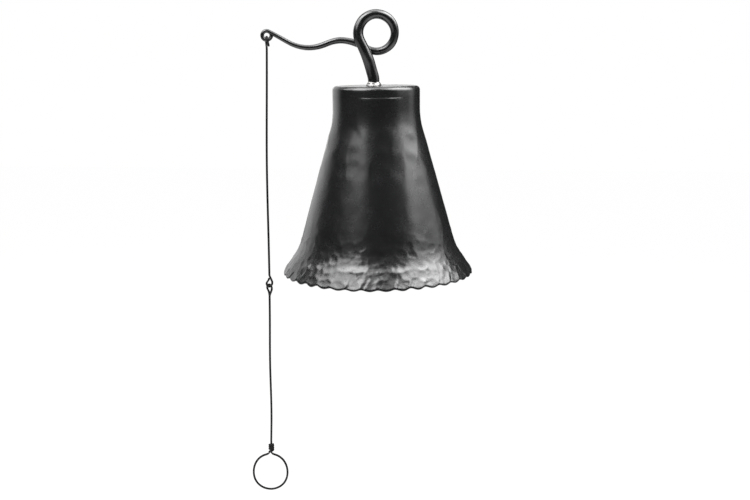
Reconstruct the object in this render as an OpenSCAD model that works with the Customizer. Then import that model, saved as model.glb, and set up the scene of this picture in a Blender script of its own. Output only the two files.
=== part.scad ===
// Wall mounted bell: a hammered sheet bell hung from a forged pigtail hanger, with a wire pull.
// The origin is the centre of the hanging loop, whose own axis is Y. +Z is up and the arm reaches
// along -X. The bell and its hanger are drawn with the bell's axis on Z, and then turned a little
// about the loop, as the arm's weight turns them. The clapper and the pull hang straight down.

/* [Bell] */
// Outer diameter of the crown and the straight neck
crown_d = 93.2; // [80:0.1:110]
// Outer diameter of the mouth, over the lobes of the lip
mouth_d = 208; // [190:1:230]
// Height of the bell from the crown's top to the rim
bell_h = 200; // [180:1:240]
// Thickness of the bell's sheet
sheet_t = 2; // [1.5:0.1:3]
// Depth of the straight neck below the crown's top
neck_h = 24; // [16:0.5:36]
// Radius of the sweep from the neck into the cone
neck_sweep_r = 74; // [50:1:110]
// Radius of the sweep from the cone into the lip
lip_sweep_r = 60; // [40:1:80]
// Height of the straight part of the lip
lip_h = 19; // [10:0.5:25]
// Angle of the lip from the vertical
lip_angle = 34.5; // [28:0.5:42]
// Number of lobes round the lip
lobes = 38; // [24:1:48]
// Depth of the notch between two lobes
lobe_depth = 1.6; // [0.6:0.1:2.5]

/* [Crown] */
// Height of the crown cap's skirt, down to its seam with the bell
cap_h = 10.7; // [8:0.1:14]
// Radius of the crown cap's outer shoulder
shoulder_r = 4.5; // [3:0.1:6]
// How far the hanger's root stands off the bell's axis, towards the arm
root_offset = 2.4; // [0:0.1:6]
// Height of the bright collar under the hanger's root
collar_h = 4.3; // [3:0.1:7]
// Diameter of the collar's base
collar_base_d = 17; // [15:0.1:24]
// Diameter of the washer inside the crown
washer_d = 26; // [20:0.5:36]
// Thickness of the washer inside the crown
washer_t = 2; // [1.5:0.1:3]

/* [Hanger] */
// Diameter of the hanger's bar at its root
bar_root_d = 12.1; // [10:0.1:13]
// Diameter of the hanger's bar at its drawn-out tip
bar_tip_d = 3.5; // [3:0.1:4.2]
// Radius of the hanging loop, to the middle of the bar
loop_r = 19.3; // [17:0.1:24]
// Height of the hanging loop's centre above the crown's top
loop_rise = 56; // [50:0.5:70]
// Lean of the bar just above its root
root_lean = 15; // [8:0.5:18]
// Space between the bar's two crossing parts
crossing_gap = 0.4; // [0.3:0.1:1]
// Slope of the arm where it leaves the loop
arm_leave = 35; // [30:1:40]
// Radius of the arm's first bend, over its crest
crest_r = 41.9; // [30:0.1:44]
// Slope of the arm between its crest and its dip
arm_dip = 24.3; // [18:0.1:30]
// Radius of the arm's second bend, under its dip
dip_r = 43.2; // [36:0.1:56]
// Slope of the arm as it rises to its eye
arm_rise = 29.3; // [20:0.1:32]
// Length of the arm's straight end
arm_end = 23.9; // [18:0.1:40]
// Radius of the arm's rolled eye, to the middle of the bar
arm_eye_r = 4.65; // [4.5:0.05:6]
// Diameter of the hanger's threaded tail
tail_d = 8; // [6:0.5:9]
// Turn of the hanging bell about its loop, which lowers the side of the arm
hang_tilt = 1.05; // [0:0.05:2]

/* [Clapper] */
// Depth of the eye nut's threaded boss
boss_h = 10; // [8:0.5:14]
// Diameter of the eye nut's boss
boss_d = 15; // [13:0.5:18]
// Diameter of the bar of the eye nut's ring
nut_bar_d = 5; // [4:0.1:5.6]
// Radius of the eye nut's ring, to the middle of its bar
nut_ring_r = 8.5; // [8:0.1:11]
// Diameter of the clapper link's wire
link_d = 3.2; // [2.8:0.1:3.6]
// Length of the clapper link's straight sides
link_side = 12; // [10:0.5:20]
// Diameter of the clapper's rod
rod_d = 4.4; // [4:0.1:4.8]
// Radius of the clapper rod's eye, to the middle of the rod
rod_eye_r = 5.5; // [5.2:0.1:7]
// Diameter of the clapper's ball
ball_d = 30; // [24:0.5:34]
// Height of the ball's centre above the bell's rim
ball_rise = 15; // [8:0.5:40]

/* [Pull] */
// Diameter of the pull's wire
wire_d = 2.1; // [1.8:0.1:2.4]
// Radius of the two interlinked eyes, to the middle of the wire
wire_eye_r = 4; // [3.8:0.1:5]
// Distance from an eye's centre to the start of its stem
wire_eye_h = 8.5; // [7.5:0.1:12]
// Turn of the hook in the arm's eye, seen from above, from straight through it
hook_turn = 20; // [0:1:25]
// Depth of the interlinked eyes below the loop's centre
pull_joint_depth = 274; // [240:1:320]
// Depth of the finger ring's lowest point below the loop's centre
pull_depth = 513; // [440:1:560]
// Radius of the finger ring, to the middle of the wire
ring_r = 19.3; // [16:0.1:24]
// Turns of the wire wrapped round its own stem
wrap_turns = 3.5; // [2:0.5:5]

/* [Fits] */
// Running space between two linked rings
link_gap = 0.3; // [0.2:0.05:0.5]
// Space round a tail or rod in its own hole
bore_gap = 0.1; // [0.05:0.05:0.3]
// Space between the wire's own neighbouring turns
wrap_gap = 0.2; // [0.15:0.05:0.4]

/* [Hidden] */

RAD = PI / 180;
iron = "#2b2c2d";
wire_black = "#1d1e1f";
bright = "#b9b7b2";
zinc = "#8f9294";

// How far a cut runs past the faces that it opens.
cut_past = 1;

// Heights of the crown and rim.
crown_z = -loop_rise;
rim_z = crown_z - bell_h;
seam_z = crown_z - cap_h;
neck_z = crown_z - neck_h;
crown_r = crown_d / 2;
mouth_r = mouth_d / 2;
collar_z = crown_z + collar_h;
washer_z = crown_z - sheet_t;
nut_z = washer_z - washer_t;

// The cone is the line that touches the neck's sweep and the lip's sweep. Both centres lie outside it.
neck_sweep_c = [crown_r + neck_sweep_r, neck_z];
lip_top = [mouth_r - lip_h * tan(lip_angle), rim_z + lip_h];
lip_sweep_c = lip_top + lip_sweep_r * [cos(lip_angle), sin(lip_angle)];
sweep_span = lip_sweep_c - neck_sweep_c;
cone_angle = atan2(sweep_span[1], sweep_span[0])
    + acos((lip_sweep_r - neck_sweep_r) / norm(sweep_span));

// Shape of the loop: a short upright root, its bend, and the long bend that meets the loop.
root_run = 1.5;
root_bend_r = 20;
root_x = -root_offset;
bend_end = [
    root_x - root_bend_r * (1 - cos(root_lean)),
    collar_z + root_run + root_bend_r * sin(root_lean)
];
bend_side = [-cos(root_lean), -sin(root_lean)];
rise_r = (bend_end * bend_end - loop_r * loop_r) / (2 * (loop_r - bend_end * bend_side));
rise_c = bend_end + rise_r * bend_side;
rise_lean = atan2(-rise_c[1], -rise_c[0]);

// The arm's eye rolls nearly full circle, and slips back from its lowest point to pass behind the arm.
eye_roll = 345;
lap_start = 205;
lap_end = 335;
bar_moves = [
    [root_run, 0],
    arc_move(root_bend_r, root_lean),
    arc_move(rise_r, rise_lean - root_lean),
    arc_move(loop_r, -(rise_lean + 270 + arm_leave)),
    arc_move(crest_r, arm_leave + arm_dip),
    arc_move(dip_r, -(arm_dip + arm_rise)),
    [arm_end, 0],
    arc_move(arm_eye_r, eye_roll)
];
bar_starts = move_starts([root_x, collar_z, 90, 0], bar_moves);
loop_start_s = bar_starts[3][3];
loop_end_s = bar_starts[4][3];
eye_start = bar_starts[7];
eye_start_s = eye_start[3];
lap_start_s = eye_start_s + arm_eye_r * RAD * lap_start;
lap_end_s = eye_start_s + arm_eye_r * RAD * lap_end;
lap_y = bar_tip_d + crossing_gap;
taper_power = 1.08;
settle_run = 6;
crossing_y = (bar_d(loop_start_s) + bar_d(loop_end_s)) / 4 + crossing_gap / 2;
arm_eye_c = [
    eye_start[0] - arm_eye_r * sin(eye_start[2]),
    eye_start[1] + arm_eye_r * cos(eye_start[2])
];

// The place [x, z] of a point of the bell or its hanger once they hang turned.
function hung_point(p) =
    [
        p[0] * cos(hang_tilt) - p[1] * sin(hang_tilt),
        p[0] * sin(hang_tilt) + p[1] * cos(hang_tilt)
    ];

// The eye nut keeps a floor under its thread, and the hanger's tail stops short of that floor.
nut_floor = 1.5;
tail_end_gap = 0.5;
tail_len = collar_h + sheet_t + washer_t + boss_h - nut_floor - tail_end_gap;

// Heights down the clapper's train, and the riveted head under its ball.
nut_ring_z = nut_z - boss_h - nut_ring_r;
clapper_hang = hung_point([root_x, nut_ring_z]);
clapper_x = clapper_hang[0];
link_r = (nut_bar_d + link_d) / 2 + link_gap;
link_top_z = clapper_hang[1] - nut_ring_r;
link_low_z = link_top_z - link_side;
rod_eye_z = link_low_z - link_r + (link_d + rod_d) / 2 + link_gap - rod_eye_r;
ball_z = rim_z + ball_rise;
head_h = 3;
head_d = rod_d * 2;
head_tip_d = head_d * 0.7;
head_room = 1;

// The pull hangs from the arm's eye. Each eye's arc is centred so that two linked wires just clear.
pull_hang = hung_point(arm_eye_c);
pull_x = pull_hang[0];
hook_play = 0.1;
hook_r = (bar_tip_d + wire_d) / 2 + link_gap + hook_play;
hook_z = pull_hang[1] - arm_eye_r;
link_step = wire_d + link_gap;
upper_eye_z = -pull_joint_depth + wire_eye_r - link_step / 2;
lower_eye_z = -pull_joint_depth - wire_eye_r + link_step / 2;
upper_turn = 45;
lower_turn = -45;
wrap_r = wire_d + wrap_gap;
wrap_pitch = wire_d + wrap_gap;
wrap_steps = 14;
wrap_lift = 1.2;
lift_steps = 3;
ring_neck_r = 4;
ring_z = -pull_depth + wire_d / 2 + ring_r;
ring_neck_angle = asin((ring_neck_r + wrap_r / 2) / (ring_neck_r + ring_r));
ring_neck_z = ring_z + (ring_r + ring_neck_r) * cos(ring_neck_angle);
ring_gather = 3;

// An eye's straight tip, the small bend into its side, and the bend into its stem.
tip_run = 2;
tip_bend_r = 0.6;
stem_bend_r = 3;

// Steps that draw the round stretches.
curve_steps = 6;
lobe_steps = 6;

// A move is [length, turn]: a straight run has no turn, an arc turns left when it is positive.
function arc_move(r, turn) = [r * RAD * abs(turn), turn];

// The pose [x, z, heading, length so far] after a share of one move.
function after(pose, move, share) =
    let (
        run = move[0] * share,
        turn = move[1] * share,
        chord = abs(turn) < 0.001 ? run : run * sin(turn / 2) / (turn / 2 * RAD),
        way = pose[2] + turn / 2
    )
    [pose[0] + chord * cos(way), pose[1] + chord * sin(way), pose[2] + turn, pose[3] + run];

// The pose at the start of each move, and the last pose.
function move_starts(start, moves) =
    [for (i = 0, p = start; i <= len(moves); p = after(p, moves[min(i, len(moves) - 1)], 1), i = i + 1) p];

// Poses along the whole path, one for each bend_step of turn or run_step of length.
function walk(start, moves, bend_step, run_step) =
    let (starts = move_starts(start, moves))
    [
        for (i = [0 : len(moves) - 1])
        let (n = max(1, ceil(abs(moves[i][1]) / bend_step), ceil(moves[i][0] / run_step)))
        for (k = [0 : n - 1]) after(starts[i], moves[i], k / n),
        starts[len(moves)]
    ];

function unit(v) = v / norm(v);
function smooth(t) = let (u = max(0, min(1, t))) u * u * (3 - 2 * u);

// The direction of a path of points at one of them.
function way_at(points, i) =
    unit(points[min(i + 1, len(points) - 1)] - points[max(i - 1, 0)]);

// Side vectors carried along a path with no twist.
function sides(points, first) =
    [
        for (
            i = 0, s = unit(first - (first * way_at(points, 0)) * way_at(points, 0));
            i < len(points);
            i = i + 1,
            s = let (w = way_at(points, min(i, len(points) - 1))) unit(s - (s * w) * w)
        ) s
    ];

// A bar swept along a path, with a radius at each point and flat ends.
module sweep(points, radii, facets, first_side) {
    side = sides(points, first_side);
    corners = [
        for (i = [0 : len(points) - 1])
        let (u = side[i], v = cross(way_at(points, i), side[i]))
        for (k = [0 : facets - 1])
        points[i] + radii[i] * (cos(360 * k / facets) * u + sin(360 * k / facets) * v)
    ];
    last = (len(points) - 1) * facets;
    walls = [
        for (i = [0 : len(points) - 2], k = [0 : facets - 1])
        let (a = i * facets + k, b = i * facets + (k + 1) % facets)
        each [[a, a + facets, b + facets], [a, b + facets, b]]
    ];
    caps = [
        [for (k = [0 : facets - 1]) k],
        [for (k = [facets - 1 : -1 : 0]) last + k]
    ];
    polyhedron(points = corners, faces = concat(walls, caps), convexity = 8);
}

// Points along an arc on the side of its centre that faces the bell's axis.
function sweep_points(c, r, first, last) =
    [
        for (k = [0 : curve_steps])
        let (angle = first + (last - first) * k / curve_steps)
        c - r * [cos(angle), sin(angle)]
    ];

// The bell's wall as half a section, at a distance inside its outer face.
function wall(inside) =
    [
        [crown_r - inside, seam_z],
        each sweep_points(neck_sweep_c, neck_sweep_r + inside, 0, cone_angle),
        each sweep_points(lip_sweep_c, lip_sweep_r + inside, cone_angle, lip_angle),
        [mouth_r - inside * cos(lip_angle), rim_z - inside * sin(lip_angle)]
    ];
function backwards(list) = [for (i = [len(list) - 1 : -1 : 0]) list[i]];

// Outline of the lip seen from above: round lobes with sharp notches between them.
function lobe_r(angle) = mouth_r - lobe_depth * (1 - abs(cos(angle * lobes / 2)));
module lobed_outline() {
    polygon([
        for (k = [0 : lobes * lobe_steps - 1])
        let (angle = 360 * k / (lobes * lobe_steps))
        lobe_r(angle) * [cos(angle), sin(angle)]
    ]);
}

// Turns what hangs rigidly on the loop about the loop's axis.
module hung() {
    rotate([0, -hang_tilt, 0])
    children();
}

module bell_shell() {
    color(iron)
    hung()
    intersection() {
        rotate_extrude($fn = 96)
        polygon(concat(wall(0), backwards(wall(sheet_t))));
        translate([0, 0, rim_z - lip_h])
        linear_extrude(height = bell_h + lip_h)
        lobed_outline();
    }
}

// Points along a quarter circle, from its top to its outer side.
function quarter_turn(c, r) =
    [
        for (k = [0 : curve_steps])
        let (angle = 90 * k / curve_steps)
        c + r * [sin(angle), cos(angle)]
    ];

// A pressed cap: flat top, round shoulder and a short skirt that meets the bell at the seam.
module crown_cap() {
    shoulder_c = [crown_r - shoulder_r, crown_z - shoulder_r];
    color(iron)
    hung()
    difference() {
        rotate_extrude($fn = 96)
        polygon(concat(
            [[0, crown_z]],
            quarter_turn(shoulder_c, shoulder_r),
            [[crown_r, seam_z], [crown_r - sheet_t, seam_z]],
            backwards(quarter_turn(shoulder_c, shoulder_r - sheet_t)),
            [[0, washer_z]]
        ));
        tail_hole(washer_z, sheet_t);
    }
}

// The hole for the hanger's tail, through one layer of the crown.
module tail_hole(z, t) {
    translate([root_x, 0, z - cut_past])
    cylinder(h = t + 2 * cut_past, d = tail_d + 2 * bore_gap, $fn = 48);
}

// A low cone under the hanger's root, with a thin edge and a top just wider than the bar.
module root_collar() {
    rim_t = 0.8;
    ledge = 0.3;
    color(bright)
    hung()
    difference() {
        translate([root_x, 0, crown_z])
        rotate_extrude($fn = 64)
        polygon([
            [0, 0], [collar_base_d / 2, 0], [collar_base_d / 2, rim_t],
            [bar_root_d / 2 + ledge, collar_h], [0, collar_h]
        ]);
        tail_hole(crown_z, collar_h);
    }
}

// Diameter of the hanger's bar at a length from its shoulder: an even taper, then a plain eye.
function bar_d(s) =
    bar_root_d + (bar_tip_d - bar_root_d) * pow(min(1, s / eye_start_s), taper_power);

// Depth of the bar: its rise passes in front of the arm, the loop spirals back between them, and the
// tip of the eye ends behind the arm.
function bar_y(s) =
    let (arm_s = loop_end_s + 2 * settle_run)
    crossing_y * (
        2 * smooth((s - loop_start_s) / (loop_end_s - loop_start_s))
        - smooth((s - root_run) / (loop_start_s - settle_run - root_run))
        - smooth((s - arm_s) / (eye_start_s - arm_s))
    )
    + lap_y * smooth((s - lap_start_s) / (lap_end_s - lap_start_s));

module hanger_bar() {
    poses = walk([root_x, collar_z, 90, 0], bar_moves, bend_step = 10, run_step = 5);
    color(iron)
    hung()
    union() {
        sweep(
            [for (p = poses) [p[0], bar_y(p[3]), p[1]]],
            [for (p = poses) bar_d(p[3]) / 2],
            facets = 16, first_side = [0, 1, 0]
        );
        translate([root_x, 0, collar_z - tail_len])
        cylinder(h = tail_len + root_run / 2, d = tail_d, $fn = 48);
    }
}

module crown_washer() {
    color(zinc)
    hung()
    difference() {
        translate([root_x, 0, nut_z])
        cylinder(h = washer_t, d = washer_d, $fn = 64);
        tail_hole(nut_z, washer_t);
    }
}

// A round ring of round bar that lies in the XZ plane.
module upright_ring(centre, ring, bar) {
    translate(centre)
    rotate([90, 0, 0])
    rotate_extrude($fn = 48)
    translate([ring, 0])
    circle(d = bar, $fn = 24);
}

module eye_nut() {
    color(zinc)
    hung()
    difference() {
        union() {
            translate([root_x, 0, nut_z - boss_h])
            cylinder(h = boss_h, d = boss_d, $fn = 48);
            upright_ring([root_x, 0, nut_ring_z], nut_ring_r, nut_bar_d);
        }
        translate([root_x, 0, nut_z - boss_h + nut_floor])
        cylinder(h = boss_h, d = tail_d + 2 * bore_gap, $fn = 48);
    }
}

// A closed link with round ends that lies in the YZ plane.
module clapper_link() {
    color(zinc)
    translate([clapper_x, 0, 0]) {
        for (end = [[link_top_z, 0], [link_low_z, 180]])
        translate([0, 0, end[0]])
        rotate([0, -90, 0])
        rotate([0, 0, -90 + end[1]])
        rotate_extrude(angle = 180, $fn = 48)
        translate([link_r, 0])
        circle(d = link_d, $fn = 24);
        for (side = [-1, 1])
        translate([0, side * link_r, link_low_z])
        cylinder(h = link_side, d = link_d, $fn = 24);
    }
}

module clapper_rod() {
    shank_top = rod_eye_z - rod_eye_r;
    head_z = ball_z - ball_d / 2 - head_h;
    color(iron)
    union() {
        upright_ring([clapper_x, 0, rod_eye_z], rod_eye_r, rod_d);
        translate([clapper_x, 0, head_z])
        cylinder(h = shank_top - head_z, d = rod_d, $fn = 32);
        translate([clapper_x, 0, head_z])
        cylinder(h = head_h, d1 = head_tip_d, d2 = head_d, $fn = 32);
    }
}

module clapper_ball() {
    color(iron)
    difference() {
        translate([clapper_x, 0, ball_z])
        sphere(d = ball_d, $fn = 64);
        translate([clapper_x, 0, ball_z - ball_d])
        cylinder(h = 2 * ball_d, d = rod_d + 2 * bore_gap, $fn = 32);
        translate([clapper_x, 0, ball_z - ball_d / 2 - head_h])
        cylinder(h = head_h, d = head_d + 2 * head_room, $fn = 32);
    }
}

// An eye in the end of a wire, from its tip round to its stem, in the plane of u and z.
// The stem leaves downwards at u = 0 and the tip ends beside it.
function wire_eye(r, h) =
    let (
        lean = asin(r / h),
        tip_u = -(wire_d + wrap_gap),
        side_run = sqrt(h * h - r * r),
        slant = (r * cos(lean) + tip_u) / sin(lean),
        tip_z = -r * sin(lean) - slant * cos(lean),
        tip_trim = tip_bend_r * tan(lean / 2),
        stem_trim = stem_bend_r * tan(lean / 2)
    )
    walk(
        [tip_u, tip_z - tip_run, 90, 0],
        [
            [tip_run - tip_trim, 0],
            arc_move(tip_bend_r, lean),
            [slant - tip_trim, 0],
            arc_move(r, -(180 + 2 * lean)),
            [side_run - stem_trim, 0],
            arc_move(stem_bend_r, lean)
        ],
        bend_step = 15, run_step = 40
    );

// Points in the plane of u and z, stood at a place, turned about the vertical and flipped by a -1.
function placed(flat, turn, x, z, flip) =
    [for (p = flat) [x + p[0] * cos(turn), p[0] * sin(turn), z + flip * p[1]]];

module wire(points) {
    color(wire_black)
    sweep(points, [for (p = points) wire_d / 2], facets = 8, first_side = [0.3, 1, 0.2]);
}

// Hook through the arm's eye at the top, stem, and the upper one of the two interlinked eyes.
module upper_pull_wire() {
    top = wire_eye(hook_r, wire_eye_h);
    low = backwards(wire_eye(wire_eye_r, wire_eye_h));
    wire(concat(
        placed(top, 90 + hook_turn, pull_x, hook_z, 1),
        placed(low, upper_turn, pull_x, upper_eye_z, -1)
    ));
}

// The lower eye, its stem, the finger ring, and the wire's end wrapped round the stem.
module lower_pull_wire() {
    top = wire_eye(wire_eye_r, wire_eye_h);
    neck_turn = 90 - ring_neck_angle;
    ring = walk(
        [0, ring_neck_z, -90, 0],
        [
            arc_move(ring_neck_r, neck_turn),
            arc_move(ring_r, -(180 + 2 * neck_turn)),
            arc_move(ring_neck_r, neck_turn),
            [ring_gather, 0]
        ],
        bend_step = 10, run_step = 3
    );
    wrap_z = ring_neck_z + ring_gather;
    wrap = [
        for (k = [1 : wrap_turns * wrap_steps])
        let (
            angle = 180 + 360 * k / wrap_steps,
            rise = wrap_pitch * k / wrap_steps + wrap_lift * smooth(k / lift_steps)
        )
        [pull_x + wrap_r * cos(angle), wrap_r * sin(angle), wrap_z + rise]
    ];
    wire(concat(
        placed(top, lower_turn, pull_x, lower_eye_z, 1),
        [for (p = ring) [pull_x + p[0], 0, p[1]]],
        wrap
    ));
}

bell_shell();
crown_cap();
root_collar();
hanger_bar();
crown_washer();
eye_nut();
clapper_link();
clapper_rod();
clapper_ball();
upper_pull_wire();
lower_pull_wire();
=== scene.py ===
"""A hammered wall bell with its forged hanger, clapper and wire pull, finished round the frame."""

import math
import random

import bpy
import numpy as np
from bpy.props import FloatProperty, FloatVectorProperty, IntProperty
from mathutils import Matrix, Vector
from mathutils.kdtree import KDTree


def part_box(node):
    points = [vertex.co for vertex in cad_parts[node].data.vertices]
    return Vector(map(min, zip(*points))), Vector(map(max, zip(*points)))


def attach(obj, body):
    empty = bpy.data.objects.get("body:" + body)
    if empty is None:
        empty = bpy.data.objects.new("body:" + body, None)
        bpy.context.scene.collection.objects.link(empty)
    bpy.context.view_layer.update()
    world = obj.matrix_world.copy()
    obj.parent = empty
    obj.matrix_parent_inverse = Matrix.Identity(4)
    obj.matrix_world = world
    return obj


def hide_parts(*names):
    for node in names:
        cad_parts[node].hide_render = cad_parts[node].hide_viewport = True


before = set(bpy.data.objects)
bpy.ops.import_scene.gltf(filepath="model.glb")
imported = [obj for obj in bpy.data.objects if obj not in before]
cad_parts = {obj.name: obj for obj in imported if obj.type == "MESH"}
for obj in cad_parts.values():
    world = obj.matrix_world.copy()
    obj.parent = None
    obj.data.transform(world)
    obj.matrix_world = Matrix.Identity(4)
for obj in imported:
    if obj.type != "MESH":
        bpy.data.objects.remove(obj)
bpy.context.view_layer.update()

bl_info = {
    "name": "Wall Bell",
    "version": (1, 0, 0),
    "blender": (4, 5, 0),
    "location": "3D View > Sidebar > Bell",
    "description": "Finishes a hammered wall bell with its hanger, clapper and pull",
    "category": "Object",
}

MM = 0.001

SHELL_LOW, SHELL_HIGH = (Vector(corner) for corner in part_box("bell_shell"))
UPPER_LOW, UPPER_HIGH = (Vector(corner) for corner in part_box("upper_pull_wire"))
LOWER_LOW, LOWER_HIGH = (Vector(corner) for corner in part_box("lower_pull_wire"))
PULL_X = (UPPER_LOW.x + UPPER_HIGH.x) / 2

# Depth of the rim below the loop. The arm's weight turns the hanging bell, and moves its rim aside.
RIM_DEPTH = 256 * MM
HANG_TILT = math.asin((SHELL_LOW.x + SHELL_HIGH.x) / 2 / RIM_DEPTH)

# Spacing and depth of the hammer blows in millimetres, each at a share of the way down the wall.
BLOW_SPACING = ((0, 0.3, 0.5, 0.7, 0.8, 0.9), (19, 16, 17, 12, 8, 7))
BLOW_DEPTH = ((0, 0.1, 0.18, 0.32, 0.45, 0.62, 0.74, 0.84, 0.9),
              (0.02, 0.06, 0.36, 0.40, 0.14, 0.12, 0.22, 0.30, 0.30))
# The blows in one lobe: rows above the rim, shares of a lobe aside, millimetres across, scatter in rows.
LOBE_BLOWS = ((0.8, 0.0, 13, 0.16), (1.75, 0.35, 8.5, 0.45), (1.8, 0.85, 8.5, 0.45))

# The lamps: name, azimuth, elevation, width and height in metres, level.
LAMPS = (
    ("key_front", 10, 62, 0.9, 0.6, 1.0),
    ("key_front_right", 62, 56, 0.7, 0.58, 5.2),
    ("mid_front_right", 64, 37.5, 0.7, 0.26, 3.0),
    ("key_right", 102, 46, 0.85, 0.9, 5.4),
    ("key_left", -50, 58, 0.8, 0.5, 5.8),
    ("mid_left", -50, 40.5, 0.8, 0.24, 3.2),
    ("side_left", -92, 46, 0.6, 0.7, 3.0),
    ("low_left", -46, 30, 0.8, 0.24, 2.0),
    ("low_right", 82, 23.5, 1.1, 0.25, 2.0),
    ("panel_left", -36, 13, 0.8, 0.45, 0.08),
    ("panel_right", 76, 14, 0.8, 0.42, 0.55),
    ("panel_right_back", 108, 12, 0.7, 0.5, 0.8),
    ("back_low", 180, 6, 1.0, 0.3, 1.2),
    ("overhead", 180, 82, 1.2, 0.8, 3.0),
)
LAMP_DISTANCE = 1.3


# ---------------------------------------------------------------- settings

def length(label, text, default):
    """A size in metres that a user would change."""
    return FloatProperty(name=label, description=text, default=default, min=0, precision=5,
                         unit="LENGTH")


def angle(label, text, degrees):
    """An angle that a user would change."""
    return FloatProperty(name=label, description=text, default=math.radians(degrees),
                         unit="ROTATION")


def colour(label, text, rgb):
    """A linear colour."""
    return FloatVectorProperty(name=label, description=text, default=rgb, size=3, min=0, max=1,
                               subtype="COLOR")


class BellSettings(bpy.types.PropertyGroup):
    """Sizes and colours of the bell's body, which is drawn upright and then turned as it hangs."""

    crown_drop: length("Crown drop", "Depth of the crown's top below the loop's centre", 56 * MM)
    height: length("Height", "Height of the bell from the crown's top to the rim", 200 * MM)
    crown_radius: length("Crown radius", "Outer radius of the crown and the neck", 46.6 * MM)
    mouth_radius: length("Mouth radius", "Outer radius of the mouth, over its lobes", 104 * MM)
    cap_height: length("Cap", "Height of the crown cap, down to its seam", 10.7 * MM)
    neck_height: length("Neck", "Height of the straight neck below the crown's top", 24 * MM)
    neck_sweep: length("Neck sweep", "Radius of the sweep from the neck into the cone", 74 * MM)
    lip_sweep: length("Lip sweep", "Radius of the sweep from the cone into the lip", 60 * MM)
    lip_height: length("Lip", "Height of the straight part of the lip", 19 * MM)
    lip_angle: angle("Lip angle", "Angle of the lip from the vertical", 34.5)
    sheet: length("Sheet", "Thickness of the sheet", 2 * MM)
    edge: length("Edge", "Rounding of the rim's cut edge", 0.6 * MM)
    roll: length("Rolled rim", "Height of the strip that is hammered over at the rim", 2.4 * MM)
    roll_depth: length("Roll depth", "How far the rim is hammered over", 1.1 * MM)
    crease: length("Crease", "Depth of the crease between two lobes", 0.75 * MM)
    lobes: IntProperty(name="Lobes", description="Number of lobes round the lip", default=38, min=12)
    marked: length("Hammered band", "Width of the closely hammered band above the rim", 62 * MM)
    lobe_depth: length("Lobe depth", "Depth of the notch between two lobes", 1.9 * MM)
    shoulder: length("Shoulder", "Radius of the crown's shoulder", 4.5 * MM)
    root_side: length("Root", "How far the hanger's root stands off the bell's axis", 2.4 * MM)
    tail_hole: length("Tail hole", "Radius of the hole for the hanger's tail", 4.1 * MM)
    collar_radius: length("Collar radius", "Radius of the collar's base", 8.5 * MM)
    collar_height: length("Collar height", "Height of the collar above the crown", 4.3 * MM)
    iron: colour("Iron", "Colour of the blackened iron", (0.0062, 0.0064, 0.0069))
    worn: colour("Worn", "Colour of the iron where it is worn lighter", (0.016, 0.016, 0.0165))


class FittingSettings(bpy.types.PropertyGroup):
    """Colours of the hanger, the pull and the small fittings."""

    forged: colour("Forged bar", "Colour of the forged hanger", (0.006, 0.0062, 0.0066))
    wire: colour("Wire", "Colour of the pull's wire", (0.005, 0.005, 0.0055))
    bright: colour("Bright metal", "Colour of the bare collar", (0.45, 0.445, 0.44))
    zinc: colour("Zinc", "Colour of the plated fittings", (0.48, 0.49, 0.50))
    cast: colour("Ball", "Colour of the clapper's ball", (0.03, 0.03, 0.032))


class StageSettings(bpy.types.PropertyGroup):
    """Camera, floor and light."""

    distance: length("Distance", "Distance from the camera to the bell's axis", 1.1174)
    lens: FloatProperty(name="Lens", description="Focal length in millimetres", default=50, min=10)
    camera_drop: length("Camera drop", "Height of the loop's centre above the camera", 20.2 * MM)
    camera_side: FloatProperty(name="Camera side", description="Camera's place along X",
                               default=-0.3 * MM, unit="LENGTH", precision=5)
    pitch: angle("Pitch", "How far the camera looks down", 10.8)
    roll: angle("Roll", "Turn of the camera about its own view", 0.44)
    floor_drop: length("Floor", "Space between the pull's ring and the floor", 0.3)


# ---------------------------------------------------------------- shader maths

class Signal:
    """An output socket. Arithmetic on it adds Math nodes to its finish."""

    def __init__(self, finish, socket):
        self.finish = finish
        self.socket = socket

    def maths(self, operation, first, second):
        return self.finish.node("ShaderNodeMath", {"operation": operation}, {0: first, 1: second})

    def __add__(self, other):
        return self.maths("ADD", self, other)

    def __rsub__(self, other):
        return self.maths("SUBTRACT", other, self)

    def __mul__(self, other):
        return self.maths("MULTIPLY", self, other)

    __radd__ = __add__


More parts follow.
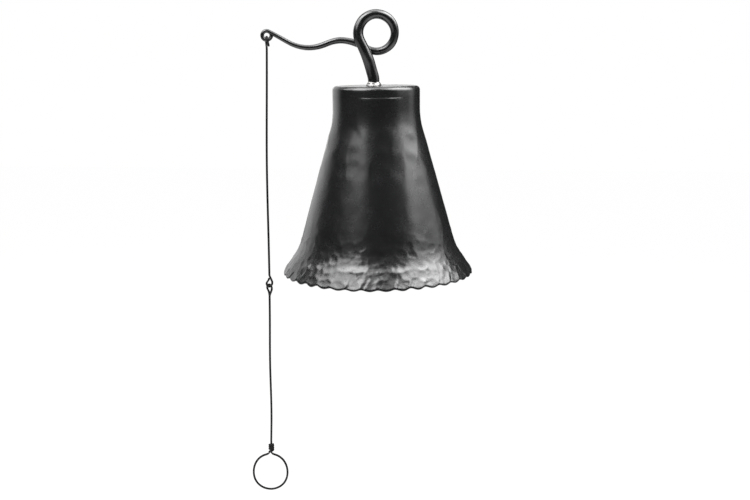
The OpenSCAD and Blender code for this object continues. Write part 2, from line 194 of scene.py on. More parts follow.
class Finish:
    """A node tree of a material or a world, and the one way to add a node to it."""

    def __init__(self, owner):
        owner.use_nodes = True
        self.owner = owner
        self.tree = owner.node_tree
        self.tree.nodes.clear()

    def node(self, kind, settings=None, inputs=None, output=0):
        """A node with its settings, then its sockets' values or links. Returns one of its outputs."""
        made = self.tree.nodes.new(kind)
        for key, value in (settings or {}).items():
            if key == "stops":
                ramp = made.color_ramp
                while len(ramp.elements) < len(value):
                    ramp.elements.new(0.5)
                for element, (place, grey) in zip(ramp.elements, value):
                    element.position = place
                    element.color = (grey, grey, grey, 1)
            else:
                setattr(made, key, value)
        for key, value in (inputs or {}).items():
            socket = made.inputs[key]
            if isinstance(value, Signal):
                self.tree.links.new(value.socket, socket)
            elif isinstance(value, (tuple, list)) and len(value) == 3 and len(socket.default_value) == 4:
                socket.default_value = (*value, 1)
            else:
                socket.default_value = value
        return Signal(self, made.outputs[output]) if len(made.outputs) else made

    def place(self, scale=(1, 1, 1)):
        """Object coordinates, stretched."""
        spot = self.node("ShaderNodeTexCoord", output=3)
        return self.node("ShaderNodeMapping", {}, {"Vector": spot, "Scale": scale})

    def noise(self, spot, scale, detail, rough):
        return self.node("ShaderNodeTexNoise", {}, {
            "Vector": spot, "Scale": scale, "Detail": detail, "Roughness": rough})

    def cells(self, spot, scale):
        """The distance to the nearest of some scattered points."""
        return self.node("ShaderNodeTexVoronoi", {}, {"Vector": spot, "Scale": scale})

    def steps(self, signal, *stops):
        """A signal through a ramp of (place, level) stops."""
        return self.node("ShaderNodeValToRGB", {"stops": stops}, {"Fac": signal})

    def blend(self, share_in, first, second):
        """A colour between two colours."""
        return self.node("ShaderNodeMix", {"data_type": "RGBA"}, {0: share_in, 6: first, 7: second},
                         output=2)

    def bump(self, height, strength, distance, under=None):
        inputs = {"Height": height, "Strength": strength, "Distance": distance}
        if under is not None:
            inputs["Normal"] = under
        return self.node("ShaderNodeBump", {}, inputs)

    def surface(self, inputs):
        """A Principled shader as the surface."""
        shader = self.node("ShaderNodeBsdfPrincipled", {}, inputs)
        self.node("ShaderNodeOutputMaterial", {}, {"Surface": shader})


def new_finish(name):
    return Finish(bpy.data.materials.new(name))


def hammered_iron(bell):
    """Semi-gloss blackened sheet: worn a little lighter towards the lip, with fine pits and mottling."""
    f = new_finish("hammered_iron")
    spot = f.place()
    height = f.node("ShaderNodeSeparateXYZ", {}, {"Vector": spot}, output=2)
    low_down = f.steps((SHELL_HIGH.z - height) * (1 / bell.height), (0.62, 0.0), (1.0, 1.0))
    mottle = f.noise(spot, 55, 5, 0.6)
    grain = f.noise(spot, 900, 3, 0.6)
    pits = f.steps(f.cells(spot, 420), (0.0, 1.0), (0.16, 0.0))
    wear = low_down * f.steps(mottle, (0.35, 0.0), (0.75, 1.0))
    tone = f.blend(wear, tuple(bell.iron), tuple(bell.worn))
    sheen = 0.20 + mottle * 0.10 + grain * 0.03
    facets = f.cells(f.place((1, 1, 1.15)), 150) * low_down
    relief = f.bump(facets, 0.22, 0.0011)
    relief = f.bump(grain, 0.08, 0.0002, relief)
    relief = f.bump(1 - pits, 0.25, 0.0002, relief)
    f.surface({"Base Color": tone, "Roughness": sheen, "IOR": 2.0, "Normal": relief})
    return f.owner


def inner_iron(bell):
    """The inside of the bell, duller and browner."""
    f = new_finish("inner_iron")
    spot = f.place()
    mottle = f.noise(spot, 70, 5, 0.65)
    tone = f.blend(f.steps(mottle, (0.4, 0.0), (0.7, 1.0)), tuple(bell.iron), (0.032, 0.026, 0.022))
    relief = f.bump(f.noise(spot, 700, 4, 0.7), 0.3, 0.0004)
    f.surface({"Base Color": tone, "Roughness": 0.55 + mottle * 0.15, "Normal": relief})
    return f.owner


def cut_edge_painted_shade(bell):
    """The rim's cut edge, dull, and painted nearly black as the shade under the rim."""
    f = new_finish("cut_edge_painted_shade")
    scale_marks = f.noise(f.place(), 300, 3, 0.6)
    # Painted shade: the edge's near-black colour stands in for the dark under the rim.
    f.surface({"Base Color": f.blend(scale_marks, (0.003, 0.003, 0.003), tuple(bell.iron)),
               "Roughness": 0.5 + scale_marks * 0.2, "IOR": 1.25})
    return f.owner


def forged_iron(colour_in):
    """Satin black forged bar with a slightly scaly skin."""
    f = new_finish("forged_iron")
    spot = f.place()
    scale_marks = f.noise(spot, 260, 4, 0.6)
    grain = f.noise(spot, 1400, 2, 0.5)
    worn = f.steps(scale_marks, (0.5, 0.0), (0.8, 1.0))
    tone = f.blend(worn, tuple(colour_in), (0.016, 0.0165, 0.018))
    relief = f.bump(scale_marks, 0.1, 0.0004)
    relief = f.bump(grain, 0.04, 0.0001, relief)
    f.surface({"Base Color": tone, "Roughness": 0.12 + scale_marks * 0.14, "IOR": 2.05,
               "Normal": relief})
    return f.owner


def black_wire(colour_in):
    """Black annealed wire with faint drawing lines."""
    f = new_finish("black_wire")
    spot = f.place((1, 1, 0.15))
    lines = f.noise(spot, 1500, 2, 0.5)
    f.surface({"Base Color": tuple(colour_in), "Roughness": 0.34 + lines * 0.12, "IOR": 1.45,
               "Normal": f.bump(lines, 0.06, 0.0001)})
    return f.owner


def bright_metal(colour_in):
    """Bare bright metal with coarse file marks, with painted shade darkening its hollows."""
    f = new_finish("bright_metal")
    spot = f.place()
    lumps_and_hollow_shade = f.noise(spot, 330, 3, 0.6)
    scratches = f.noise(f.place((1, 1, 6)), 900, 2, 0.6)
    # Painted shade: the hollows of the lumps are darkened in the colour, while the same noise also makes
    # the real lumps.
    tone = f.blend(f.steps(lumps_and_hollow_shade, (0.42, 0.0), (0.56, 1.0)), (0.05, 0.05, 0.05), tuple(colour_in))
    relief = f.bump(lumps_and_hollow_shade, 0.7, 0.0008)
    relief = f.bump(scratches, 0.2, 0.0002, relief)
    f.surface({"Base Color": tone, "Metallic": 1.0, "Roughness": 0.24 + lumps_and_hollow_shade * 0.2, "Normal": relief})
    return f.owner


def zinc_plate(colour_in):
    """Dull zinc plating, faintly mottled."""
    f = new_finish("zinc_plate")
    spot = f.place()
    spangle = f.cells(spot, 260)
    tone = f.blend(spangle, tuple(colour_in), (0.36, 0.37, 0.39))
    relief = f.bump(f.noise(spot, 800, 3, 0.6), 0.15, 0.0002)
    f.surface({"Base Color": tone, "Metallic": 1.0, "Roughness": 0.38 + spangle * 0.15,
               "Normal": relief})
    return f.owner


def cast_iron(colour_in):
    """Blackened turned ball with faint turning rings."""
    f = new_finish("cast_iron")
    spot = f.place()
    rings = f.node("ShaderNodeTexWave", {"bands_direction": "Z"}, {
        "Vector": spot, "Scale": 900.0, "Distortion": 1.5, "Detail": 2.0})
    mottle = f.noise(spot, 220, 4, 0.6)
    tone = f.blend(mottle, tuple(colour_in), (0.055, 0.052, 0.05))
    f.surface({"Base Color": tone, "Metallic": 0.4, "Roughness": 0.4 + mottle * 0.12,
               "Normal": f.bump(rings, 0.12, 0.0001)})
    return f.owner


# ---------------------------------------------------------------- modelling by hand

def start_clean():
    """Leaves edit mode and selects nothing."""
    if bpy.context.object and bpy.context.object.mode != "OBJECT":
        bpy.ops.object.mode_set(mode="OBJECT")
    bpy.ops.object.select_all(action="DESELECT")


def edit(obj):
    """Opens one object alone in edit mode with nothing selected."""
    start_clean()
    obj.select_set(True)
    bpy.context.view_layer.objects.active = obj
    bpy.ops.object.mode_set(mode="EDIT")
    bpy.ops.mesh.select_all(action="DESELECT")


def named(obj, name):
    obj.name = name
    obj.data.name = name
    return obj


def set_place(obj):
    """Puts an object's place, turn and size into its mesh."""
    start_clean()
    obj.select_set(True)
    bpy.context.view_layer.objects.active = obj
    bpy.ops.object.transform_apply(location=True, rotation=True, scale=True)


def modify(obj, kind, **settings):
    """Adds a modifier and applies it."""
    start_clean()
    obj.select_set(True)
    bpy.context.view_layer.objects.active = obj
    bpy.ops.object.modifier_add(type=kind)
    modifier = obj.modifiers[-1]
    for key, value in settings.items():
        setattr(modifier, key, value)
    bpy.ops.object.modifier_apply(modifier=modifier.name)


def tidy_mesh(obj, merge=0.002 * MM):
    """Merges doubles and turns the faces outwards."""
    edit(obj)
    bpy.ops.mesh.select_all(action="SELECT")
    bpy.ops.mesh.remove_doubles(threshold=merge)
    bpy.ops.mesh.normals_make_consistent(inside=False)
    bpy.ops.object.mode_set(mode="OBJECT")


def smooth(obj, degrees=40):
    start_clean()
    obj.select_set(True)
    bpy.context.view_layer.objects.active = obj
    bpy.ops.object.shade_smooth_by_angle(angle=math.radians(degrees))


def eased(level):
    """A level held between 0 and 1, with soft ends."""
    level = np.clip(level, 0, 1)
    return level * level * (3 - 2 * level)


def coordinates(obj):
    flat = np.empty(len(obj.data.vertices) * 3)
    obj.data.vertices.foreach_get("co", flat)
    return flat.reshape(-1, 3)


def set_coordinates(obj, points):
    obj.data.vertices.foreach_set("co", points.ravel())
    obj.data.update()


def turned(name, profile, steps, centre=(0, 0)):
    """A lathed shape: (radius, height) points drawn as a chain of edges and spun about an upright."""
    start_clean()
    x, y = centre
    first = profile[0]
    bpy.ops.mesh.primitive_plane_add(size=MM, location=(x + first[0], y, first[1]))
    obj = bpy.context.object
    set_place(obj)
    edit(obj)
    bpy.ops.mesh.select_all(action="SELECT")
    bpy.ops.mesh.merge(type="CENTER")
    for start, end in zip(profile, profile[1:]):
        step = (end[0] - start[0], 0, end[1] - start[1])
        bpy.ops.mesh.extrude_vertices_move(TRANSFORM_OT_translate={"value": step})
    bpy.ops.mesh.select_all(action="SELECT")
    bpy.ops.mesh.spin(steps=steps, angle=2 * math.pi, center=(x, y, 0), axis=(0, 0, 1))
    bpy.ops.object.mode_set(mode="OBJECT")
    tidy_mesh(obj)
    return named(obj, name)


def hang(obj):
    """Turns an upright piece about the loop's axis, as the bell hangs."""
    start_clean()
    obj.select_set(True)
    bpy.context.view_layer.objects.active = obj
    obj.rotation_euler = (0, -HANG_TILT, 0)
    set_place(obj)


def arc_points(centre, radius, first, last, count):
    """Points (radius, height) along an arc, with angles in degrees from the outward direction."""
    turns = [math.radians(first + (last - first) * k / count) for k in range(count + 1)]
    return [(centre[0] + radius * math.cos(t), centre[1] + radius * math.sin(t)) for t in turns]


def finish_piece(obj, node, body, slot, *materials):
    """Gives a piece its materials and its place in the frame."""
    obj.data.materials.clear()
    for material in materials:
        obj.data.materials.append(material)
    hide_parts(node)
    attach(obj, body)


# ---------------------------------------------------------------- the bell's body

def shell_profile(bell, row_height):
    """The outer face of the bell as (radius, height) points from the seam down to the rim."""
    sweep_steps, roll_rows, open_share = 12, 4, 0.36
    seam_rows = np.array((0, 0.45, 0.9, 1.5)) * MM
    crown_z = -bell.crown_drop
    rim_z = crown_z - bell.height
    lip = bell.lip_angle
    neck_c = Vector((bell.crown_radius + bell.neck_sweep, crown_z - bell.neck_height))
    lip_top = Vector((bell.mouth_radius - bell.lip_height * math.tan(lip), rim_z + bell.lip_height))
    lip_c = lip_top + bell.lip_sweep * Vector((math.cos(lip), math.sin(lip)))
    span = lip_c - neck_c
    cone = math.atan2(span.y, span.x) + math.acos((bell.lip_sweep - bell.neck_sweep) / span.length)

    def on(centre, radius, turn):
        return centre - radius * Vector((math.cos(turn), math.sin(turn)))

    corners = [Vector((bell.crown_radius, crown_z - bell.cap_height)), on(neck_c, bell.neck_sweep, 0)]
    shares = [k / sweep_steps for k in range(sweep_steps + 1)]
    corners += [on(neck_c, bell.neck_sweep, cone * share) for share in shares[1:]]
    corners += [on(lip_c, bell.lip_sweep, cone + (lip - cone) * share) for share in shares]
    corners += [Vector((bell.mouth_radius, rim_z))]
    lengths = [0]
    for a, b in zip(corners, corners[1:]):
        lengths.append(lengths[-1] + (b - a).length)
    end = lengths[-1]
    marks_start, roll_start = end - bell.marked, end - bell.roll
    open_rows = round(marks_start / row_height * open_share)
    fine_rows = round((roll_start - marks_start) / row_height)
    places = np.concatenate((seam_rows, np.linspace(0, marks_start, open_rows + 1)[1:],
                             np.linspace(marks_start, roll_start, fine_rows + 1)[1:],
                             np.linspace(roll_start, end, roll_rows + 1)[1:]))
    r = np.interp(places, lengths, [c.x for c in corners])
    z = np.interp(places, lengths, [c.y for c in corners])
    return places, r, z


def hammer_blows(places, r, bell, rng):
    """Hammer marks as (turn, length down the wall, size, depth, lean across, lean down)."""
    end = places[-1]
    petal = bell.lip_height * 0.42
    first_row, last_row = 3 * MM, end - 2.5 * petal
    row_share, lobe_blow_depth = 0.86, 0.045
    blows = []
    s = first_row
    row = 0
    while s < last_row:
        down = s / end
        pitch = float(np.interp(down, *BLOW_SPACING)) * MM
        depth = float(np.interp(down, *BLOW_DEPTH)) * MM
        radius = float(np.interp(s, places, r))
        count = max(8, round(2 * math.pi * radius / pitch))
        for k in range(count):
            turn = 2 * math.pi * (k + 0.5 * (row % 2) + rng.uniform(-0.3, 0.3)) / count
            along = s + rng.uniform(-0.46, 0.46) * pitch
            strength = rng.uniform(0.4, 1.5)
            lean_across, lean_down = rng.uniform(-1, 1), rng.uniform(-1, 1)
            blows.append((turn, along, pitch, depth * strength, lean_across, lean_down))
        s += pitch * row_share
        row += 1
    for k in range(bell.lobes):
        turn = 2 * math.pi * k / bell.lobes
        for back, aside, size, scatter in LOBE_BLOWS:
            shift = 2 * math.pi * aside / bell.lobes + rng.uniform(-0.02, 0.02)
            along = end - (back + scatter * rng.uniform(-1, 1)) * petal
            depth = lobe_blow_depth * size * MM * rng.uniform(0.6, 1.4)
            lean_across, lean_down = rng.uniform(-1, 1), rng.uniform(-0.5, 0.5)
            blows.append((turn + shift, along, size * MM, depth, lean_across, lean_down))
    return blows


def dents(points, turn, radius, along, blows, wall):
    """How far the hammer marks sink each point. The nearest marks give way to each other softly."""
    marks_felt, softness, dishing, tilting = 4, 0.055, 1.6, 0.9
    places, r, z = wall
    tree = KDTree(len(blows))
    for i, (t, s, *rest) in enumerate(blows):
        br, bz = float(np.interp(s, places, r)), float(np.interp(s, places, z))
        tree.insert((br * math.cos(t), br * math.sin(t), bz), i)
    tree.balance()
    sink = np.zeros(len(points))
    for i, point in enumerate(points):
        near = tree.find_n(point, marks_felt)
        first = near[0][2] ** 2
        total = 0
        level = 0
        for spot, j, far in near:
            t, s, size, depth, lean_across, lean_down = blows[j]
            weight = math.exp((first - far * far) / (softness * size * size))
            side = ((turn[i] - t + math.pi) % (2 * math.pi) - math.pi) * radius[i]
            dish = 1 - dishing * (far / size) ** 2
            tilt = (lean_across * side + lean_down * (along[i] - s)) / size
            total += weight
            level += weight * depth * (dish + tilting * tilt)
        sink[i] = level / total
    return sink


def lip_relief(turn, radius, above_rim, bell):
    """How far the lip's lobes draw each point up the wall, and how far its creases and roll sink it."""
    lobes_reach, creases_reach = 16 * MM, 17 * MM
    crease_width, crease_slant = 1.15 * MM, 0.4 / (15 * MM)
    curl_reach = 0.45 * MM
    lip_share = eased((lobes_reach - above_rim) / lobes_reach)
    notch = 1 - np.abs(np.cos(turn * bell.lobes / 2)) ** 1.3
    uneven = 1 + 0.25 * np.sin(turn * 5 + 1.0) + 0.15 * np.sin(turn * 11 + 2.0)
    pull_back = bell.lobe_depth * notch * lip_share * uneven
    curl = curl_reach * (notch - 0.4) * lip_share ** 2
    lobe_width = 2 * math.pi * radius / bell.lobes
    aside = ((turn * bell.lobes / (2 * math.pi) - crease_slant * above_rim) % 1 - 0.5) * lobe_width
    crease_share = np.clip(1 - above_rim / creases_reach, 0, 1)
    crease = bell.crease * np.exp(-(aside / crease_width) ** 2) * crease_share * uneven
    roll = bell.roll_depth * np.clip(1 - above_rim / bell.roll, 0, 1) ** 2
    return pull_back, crease + roll - curl


def hammer(obj, places, r, z, bell):
    """Sinks the hammer marks into the outer face, shapes the lobed lip, and opens the seam in front."""
    unmarked, seam_width, seam_depth = 5 * MM, 1.2 * MM, 0.6 * MM
    points = coordinates(obj)
    turn = np.arctan2(points[:, 1], points[:, 0])
    radius = np.hypot(points[:, 0], points[:, 1])
    along = np.interp(-points[:, 2], -z, places)
    down_r = np.interp(along, places, np.gradient(r, places))
    down_z = np.interp(along, places, np.gradient(z, places))
    blows = hammer_blows(places, r, bell, random.Random(7))
    sink = dents(points, turn, radius, along, blows, (places, r, z)) * np.clip(along / unmarked, 0, 1)
    pull_back, lip_sink = lip_relief(turn, radius, places[-1] - along, bell)
    front = np.cos(turn + math.pi / 2 - math.radians(6))
    seam = seam_depth * np.clip(1 - along / seam_width, 0, 1) * np.clip((front - 0.86) / 0.1, 0, 1)
    sink += lip_sink + seam
    new_r = radius - pull_back * down_r + sink * down_z
    points[:, 0] = new_r * np.cos(turn)
    points[:, 1] = new_r * np.sin(turn)
    points[:, 2] -= pull_back * down_z + sink * down_r
    set_coordinates(obj, points)


def round_rim(obj, below, width):
    """Rounds the sharp edges that lie below a height."""
    edit(obj)
    bpy.ops.mesh.select_mode(type="EDGE")
    bpy.ops.mesh.edges_select_sharp(sharpness=math.radians(60))
    bpy.ops.object.mode_set(mode="OBJECT")
    vertices = obj.data.vertices
    rim = [e.select and vertices[e.vertices[0]].co.z < below for e in obj.data.edges]
    for part in (vertices, obj.data.polygons):
        part.foreach_set("select", [False] * len(part))
    obj.data.edges.foreach_set("select", rim)
    bpy.ops.object.mode_set(mode="EDIT")
    bpy.ops.mesh.bevel(offset=width, segments=3, affect="EDGES")
    bpy.ops.mesh.select_mode(type="VERT")
    bpy.ops.object.mode_set(mode="OBJECT")


class BELL_OT_shell(bpy.types.Operator):
    """Makes the hammered bell body with its lobed lip"""

    bl_idname = "bell.shell"
    bl_label = "Bell body"

    def execute(self, context):
        bell = context.scene.bell_settings
        row_height, faces_per_lobe = 1.3 * MM, 12
        rim_zone, painted_shade_zone, upward = 4 * MM, 2.5 * MM, 0.3
        places, r, z = shell_profile(bell, row_height)
        obj = turned("bell_shell_hammered", list(zip(r, z)), bell.lobes * faces_per_lobe)
        hammer(obj, places, r, z, bell)
        middle = obj.data.polygons[len(obj.data.polygons) // 2]
        if middle.normal.dot(Vector((middle.center.x, middle.center.y, 0))) < 0:
            obj.data.flip_normals()
        inside, cut = 1, 2
        modify(obj, "SOLIDIFY", thickness=bell.sheet, offset=-1, use_quality_normals=True,
               material_offset=inside)
        rim_z = z[-1]
        round_rim(obj, rim_z + rim_zone, bell.edge)
        # The faces at the rim that turn down or out get the cut edge's painted shade.
        for face in obj.data.polygons:
            if face.center.z < rim_z + painted_shade_zone and face.normal.z < upward:
                face.material_index = cut
        hang(obj)
        smooth(obj, 50)
        finish_piece(obj, "bell_shell", "root", "bell_black", hammered_iron(bell), inner_iron(bell),
                     cut_edge_painted_shade(bell))
        return {"FINISHED"}


class BELL_OT_crown(bpy.types.Operator):
    """Makes the pressed crown cap and its fine seam"""

    bl_idname = "bell.crown"
    bl_label = "Crown cap"

    def execute(self, context):
        bell = context.scene.bell_settings
        sheet = bell.sheet
        outer = bell.crown_radius
        top = -bell.crown_drop
        low = top - bell.cap_height
        hole = bell.tail_hole
        edge = 0.12 * MM
        rings, steps = 12, 192
        corner = (outer - bell.shoulder, top - bell.shoulder)
        flat = [(hole + (corner[0] - hole) * k / rings, top) for k in range(rings)]
        rim = arc_points(corner, bell.shoulder, 90, 0, 10)
        skirt = [(outer, low + edge), (outer - edge, low), (outer - sheet, low)]
        inside = arc_points(corner, bell.shoulder - sheet, 0, 90, 6) + [(hole, top - sheet), (hole, top)]
        obj = turned("crown_cap_pressed", flat + rim + skirt + inside, steps)
        hang(obj)
        finish_piece(obj, "crown_cap", "root", "bell_black", hammered_iron(bell))
        smooth(obj, 35)
        return {"FINISHED"}


# ---------------------------------------------------------------- hanger, collar and pull

def refined_copy(node, name, levels, cuts=()):
    """A copy of a CAD node's mesh, merged, made of quads, cut at some heights and subdivided."""
    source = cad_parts[node]
    obj = bpy.data.objects.new(name, source.data.copy())
    bpy.context.scene.collection.objects.link(obj)
    obj.data.name = name
    edit(obj)
    bpy.ops.mesh.select_all(action="SELECT")
    bpy.ops.mesh.remove_doubles(threshold=0.001 * MM)
    bpy.ops.mesh.tris_convert_to_quads(face_threshold=math.radians(40),
                                       shape_threshold=math.radians(180))
    for height in cuts:
        bpy.ops.mesh.select_all(action="SELECT")
        bpy.ops.mesh.bisect(plane_co=(0, 0, height), plane_no=(0, 0, 1))
    bpy.ops.object.mode_set(mode="OBJECT")
    if levels:
        modify(obj, "SUBSURF", levels=levels, render_levels=levels)
    return obj


def vertex_normals(obj):
    flat = np.empty(len(obj.data.vertices) * 3)
    obj.data.vertices.foreach_get("normal", flat)
    return flat.reshape(-1, 3)


def fill_out(obj, distance):
    """Moves a bar's skin outwards, because subdividing draws a round section in."""
    set_coordinates(obj, coordinates(obj) + vertex_normals(obj) * distance)


def slide_loop(obj, distance, inner, outer):
    """Slides the loop aside and down along its crossing bars, fading out between two radii."""
    points = coordinates(obj)
    away = np.hypot(points[:, 0], points[:, 2])
    fade = eased((outer - away) / (outer - inner))
    points[:, 0] += distance * fade
    points[:, 2] -= distance * fade
    set_coordinates(obj, points)


def bow(obj, top, bottom, waves):
    """Gives a wire the slight bows of hand straightening, as (waves over its length, reach along X)."""
    points = coordinates(obj)
    share_down = np.clip((top - points[:, 2]) / (top - bottom), 0, 1)
    for count, reach in waves:
        points[:, 0] += reach * np.sin(math.pi * count * share_down)
    set_coordinates(obj, points)


def forge_marks(obj, depth, size, seed):
    """Gives a bar the slight flats and hollows of hand forging."""
    points = coordinates(obj)
    rng = random.Random(seed)
    waves = 5
    level = np.zeros(len(points))
    for k in range(waves):
        way = np.array([rng.gauss(0, 1) for _ in range(3)])
        way *= 2 * math.pi / (size * rng.uniform(0.7, 1.5)) / np.linalg.norm(way)
        level += np.sin(points @ way + rng.uniform(0, 6.28)) / waves
    set_coordinates(obj, points - vertex_normals(obj) * (depth * (0.5 + level))[:, None])


class BELL_OT_hanger(bpy.types.Operator):
    """Makes the forged hanger and the bright collar at its root"""

    bl_idname = "bell.hanger"
    bl_label = "Hanger and collar"

    def execute(self, context):
        fittings = context.scene.fitting_settings
        bell = context.scene.bell_settings
        bar = refined_copy("hanger_bar", "hanger_bar_forged", 2)
        fill_out(bar, 0.42 * MM)
        slide_loop(bar, 1.1 * MM, 24 * MM, 40 * MM)
        forge_marks(bar, 0.22 * MM, 14 * MM, 3)
        finish_piece(bar, "hanger_bar", "root", "forged_black", forged_iron(fittings.forged))
        smooth(bar, 60)
        base_r, bore = bell.collar_radius, bell.tail_hole
        low, rise = -bell.crown_drop, bell.collar_height
        top = low + rise
        outline = [(bore, top), (bore + 1.9 * MM, top), (base_r * 0.76, top - rise * 0.16),
                   (base_r * 0.86, top - rise * 0.42), (base_r * 0.95, top - rise * 0.7),
                   (base_r, low + rise * 0.1), (base_r * 0.98, low), (bore, low), (bore, top)]
        collar = turned("root_collar_bright", outline, 72, (-bell.root_side, 0))
        forge_marks(collar, 0.8 * MM, 8 * MM, 5)
        hang(collar)
        finish_piece(collar, "root_collar", "root", "bright_metal", bright_metal(fittings.bright))
        smooth(collar, 30)
        return {"FINISHED"}


def draw_out_tail(obj, eye_z, tip_z, aside, longer):
    """Moves the tail of the wire's upper hook aside from its stem along X, and lengthens it."""
    tail_front, margin = -0.95 * MM, 1 * MM
    points = coordinates(obj)
    tail = (points[:, 1] < tail_front) & (points[:, 2] < eye_z) & (points[:, 2] > tip_z - margin)
    share_in = eased((points[:, 2] - eye_z) / (tip_z - eye_z)) * tail
    points[:, 0] += aside * share_in
    points[:, 2] -= longer * share_in ** 3
    set_coordinates(obj, points)


def close_hook(obj, eye_z, tip_z, side, longer):
    """Lays a hook's tail against its own stem, and lengthens it."""
    stem_reach, margin = 1.6 * MM, 3 * MM
    across, back = 1.3 * MM, 0.2 * MM
    points = coordinates(obj)
    way = math.copysign(1, tip_z - eye_z)
    near = np.abs(points[:, 2] - eye_z) < abs(tip_z - eye_z) + margin
    tail = near & (side * points[:, 1] - (points[:, 0] - PULL_X) > stem_reach)
    share_in = eased((points[:, 2] - eye_z) / (tip_z - eye_z)) * tail
    points[:, 0] += across * share_in
    points[:, 1] += side * back * share_in
    points[:, 2] += way * longer * share_in ** 3
    set_coordinates(obj, points)


def draw_up_ring(obj, low, top, wrap_z, rise):
    """Draws the ring's upper half up to the wrap, so that it is slightly egg-shaped."""
    points = coordinates(obj)
    z = points[:, 2]
    points[:, 2] += rise * eased((z - low) / (top - low)) * np.clip((wrap_z - z) / (wrap_z - top), 0, 1)
    set_coordinates(obj, points)


class BELL_OT_pull(bpy.types.Operator):
    """Makes the two pull wires with their hooks, the wrap and the finger ring"""

    bl_idname = "bell.pull"
    bl_label = "Pull wires"

    def execute(self, context):
        fittings = context.scene.fitting_settings
        material = black_wire(fittings.wire)
        stems = (("upper_pull_wire", "upper_pull", UPPER_LOW.z + 16 * MM, UPPER_HIGH.z - 16 * MM,
                  ((1, -1.2 * MM), (3, 0.15 * MM))),
                 ("lower_pull_wire", "lower_pull", LOWER_LOW.z + 62 * MM, LOWER_HIGH.z - 16 * MM,
                  ((2, -0.35 * MM), (3, 0.25 * MM))))
        for node, body, low, high, waves in stems:
            parts = 16
            cuts = [low + (high - low) * k / parts for k in range(parts + 1)]
            wire = refined_copy(node, node + "_formed", 1, cuts)
            fill_out(wire, 0.2 * MM)
            if node == "upper_pull_wire":
                close_hook(wire, UPPER_LOW.z + 5.2 * MM, UPPER_LOW.z + 10.5 * MM, -1, 0)
                draw_out_tail(wire, UPPER_HIGH.z - 4.2 * MM, UPPER_HIGH.z - 9 * MM, 1.5 * MM, 1.8 * MM)
            else:
                close_hook(wire, LOWER_HIGH.z - 5.2 * MM, LOWER_HIGH.z - 11 * MM, 1, 3.5 * MM)
                draw_up_ring(wire, LOWER_LOW.z + 8 * MM, LOWER_LOW.z + 40.7 * MM, LOWER_LOW.z + 46 * MM,
                             3.7 * MM)
            bow(wire, high, low, waves)
            finish_piece(wire, node, body, "wire_black", material)
            smooth(wire, 60)
        return {"FINISHED"}


# ---------------------------------------------------------------- inside the bell

class BELL_OT_clapper(bpy.types.Operator):
    """Finishes the washer, the eye nut, the link and the clapper inside the bell"""

    bl_idname = "bell.clapper"
    bl_label = "Clapper and fittings"

    def execute(self, context):
        fittings = context.scene.fitting_settings
        zinc = zinc_plate(fittings.zinc)
        forged = bpy.data.materials.get("forged_iron") or forged_iron(fittings.forged)
        cast = cast_iron(fittings.cast)
        pieces = (("crown_washer", "root", "zinc_steel", zinc, 0),
                  ("eye_nut", "root", "zinc_steel", zinc, 0),
                  ("clapper_link", "clapper_link", "zinc_steel", zinc, 1),
                  ("clapper_rod", "clapper", "forged_black", forged, 1),
                  ("clapper_ball", "clapper", "cast_black", cast, 1))
        for node, body, slot, material, levels in pieces:
            piece = refined_copy(node, node + "_finished", levels)
            finish_piece(piece, node, body, slot, material)
            smooth(piece, 35)
        return {"FINISHED"}


# ---------------------------------------------------------------- stage

def aimed(azimuth, elevation):
    """A direction from its azimuth, 0 at the front and positive to the right, and its elevation."""
    a, e = math.radians(azimuth), math.radians(elevation)
    return Vector((math.sin(a) * math.cos(e), -math.cos(a) * math.cos(e), math.sin(e)))


def softbox(name, way, size, level, target):
    """A rectangular lamp that faces the target, as bright as a surface of that level."""
    data = bpy.data.lights.new(name, "AREA")
    data.shape = "RECTANGLE"
    data.size, data.size_y = size
    data.energy = level * math.pi * size[0] * size[1]
    lamp = bpy.data.objects.new(name, data)
    bpy.context.scene.collection.objects.link(lamp)
    lamp.location = target + way * LAMP_DISTANCE
    lamp.rotation_euler = way.to_track_quat("Z", "Y").to_euler()


def make_world(scene):
    """White for the camera. Reflections see white behind and to the left, and a dark front."""
    world = bpy.data.worlds.new("studio")
    scene.world = world
    f = Finish(world)
    way = f.node("ShaderNodeTexCoord", output=0)
    backdrop = f.node("ShaderNodeVectorMath", {"operation": "DOT_PRODUCT"}, {0: way, 1: aimed(-150, 0)},
                      output=1)
    behind = f.steps(backdrop * 0.5 + 0.5, (0.86, 0.02), (0.965, 1.0))
    camera_ray = f.node("ShaderNodeLightPath", output=0)
    glossy_ray = f.node("ShaderNodeLightPath", output=3)
    room = f.node("ShaderNodeBackground", {}, {"Color": (1, 1, 1), "Strength": 0.35})
    mirror = f.node("ShaderNodeBackground", {}, {"Color": behind, "Strength": 1.0})
    white = f.node("ShaderNodeBackground", {}, {"Color": (1, 1, 1), "Strength": 1.0})
    mix = f.node("ShaderNodeMixShader", {}, {0: glossy_ray, 1: room, 2: mirror})
    mix = f.node("ShaderNodeMixShader", {}, {0: camera_ray, 1: mix, 2: white})
    f.node("ShaderNodeOutputWorld", {}, {"Surface": mix})


def floor_finish():
    """Pale floor that reads as white to the camera and still takes a soft shadow."""
    f = new_finish("pale_floor")
    seen = f.node("ShaderNodeLightPath", output=0)
    paint = f.node("ShaderNodeBsdfDiffuse", {}, {"Color": (0.62, 0.62, 0.62)})
    glow = f.node("ShaderNodeEmission", {}, {"Color": (1, 1, 1), "Strength": 1.13})
    mix = f.node("ShaderNodeMixShader", {}, {0: seen * 0.85, 1: paint, 2: glow})
    f.node("ShaderNodeOutputMaterial", {}, {"Surface": mix})
    return f.owner


def flag_finish():
    """Black cloth."""
    f = new_finish("black_cloth")
    cloth = f.node("ShaderNodeBsdfDiffuse", {}, {"Color": (0.012, 0.012, 0.012)})
    f.node("ShaderNodeOutputMaterial", {}, {"Surface": cloth})
    return f.owner


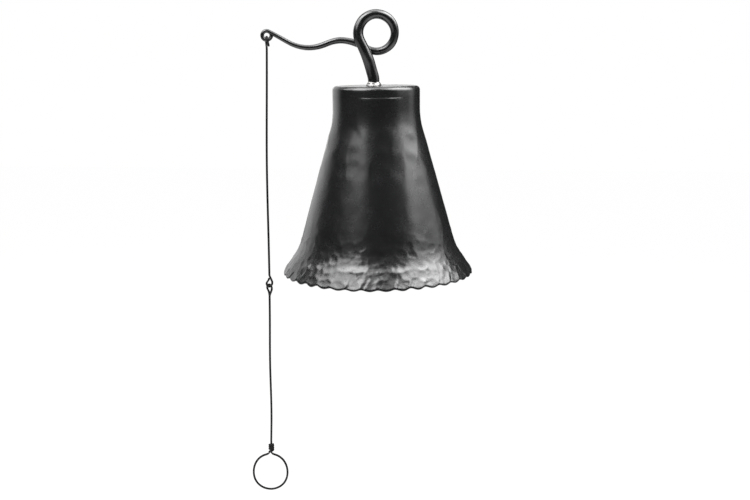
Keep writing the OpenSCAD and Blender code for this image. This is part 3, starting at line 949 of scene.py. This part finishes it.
class BELL_OT_stage(bpy.types.Operator):
    """Sets up the camera, the pale floor and the soft light"""

    bl_idname = "bell.stage"
    bl_label = "Stage"

    def execute(self, context):
        stage = context.scene.stage_settings
        scene = context.scene
        scene.view_settings.view_transform = "Standard"
        data = bpy.data.cameras.new("camera")
        data.lens = stage.lens
        data.sensor_width = 36
        camera = bpy.data.objects.new("camera", data)
        scene.collection.objects.link(camera)
        camera.location = (stage.camera_side, -stage.distance, -stage.camera_drop)
        camera.rotation_euler = (math.pi / 2 - stage.pitch, -stage.roll, 0)
        scene.camera = camera
        make_world(scene)
        middle = Vector((0, 0, (SHELL_LOW.z + SHELL_HIGH.z) / 2))
        for name, azimuth, elevation, wide, tall, level in LAMPS:
            softbox(name, aimed(azimuth, elevation), (wide, tall), level, middle)
        start_clean()
        flag_way, flag_distance = aimed(138, 0), 0.75
        bpy.ops.mesh.primitive_plane_add(size=1, location=middle + flag_way * flag_distance)
        flag = named(bpy.context.object, "black_flag")
        flag.scale = (0.75, 1.2, 1)
        flag.rotation_euler = flag_way.to_track_quat("Z", "Y").to_euler()
        set_place(flag)
        flag.data.materials.append(flag_finish())
        flag.visible_camera = False
        flag.visible_shadow = False
        start_clean()
        bpy.ops.mesh.primitive_plane_add(size=8, location=(0, 2, LOWER_LOW.z - stage.floor_drop))
        floor = named(bpy.context.object, "floor")
        set_place(floor)
        floor.data.materials.append(floor_finish())
        return {"FINISHED"}


class BELL_PT_panel(bpy.types.Panel):
    """Lists the steps that make the bell"""

    bl_idname = "BELL_PT_panel"
    bl_label = "Wall bell"
    bl_space_type = "VIEW_3D"
    bl_region_type = "UI"
    bl_category = "Bell"

    def draw(self, context):
        for step in STEPS:
            self.layout.operator(step.bl_idname, text=step.bl_label)


STEPS = (BELL_OT_stage, BELL_OT_shell, BELL_OT_crown, BELL_OT_hanger, BELL_OT_pull, BELL_OT_clapper)
GROUPS = {
    "bell_settings": BellSettings,
    "fitting_settings": FittingSettings,
    "stage_settings": StageSettings,
}


def register():
    for group in (*GROUPS.values(), *STEPS, BELL_PT_panel):
        bpy.utils.register_class(group)
    for name, group in GROUPS.items():
        setattr(bpy.types.Scene, name, bpy.props.PointerProperty(type=group))


def unregister():
    for name in GROUPS:
        delattr(bpy.types.Scene, name)
    for group in (BELL_PT_panel, *reversed(STEPS), *reversed(GROUPS.values())):
        bpy.utils.unregister_class(group)


def main():
    """Makes every piece."""
    register()
    bpy.ops.bell.stage()
    bpy.ops.bell.shell()
    bpy.ops.bell.crown()
    bpy.ops.bell.hanger()
    bpy.ops.bell.pull()
    bpy.ops.bell.clapper()
    start_clean()


if __name__ == "__main__":
    main()
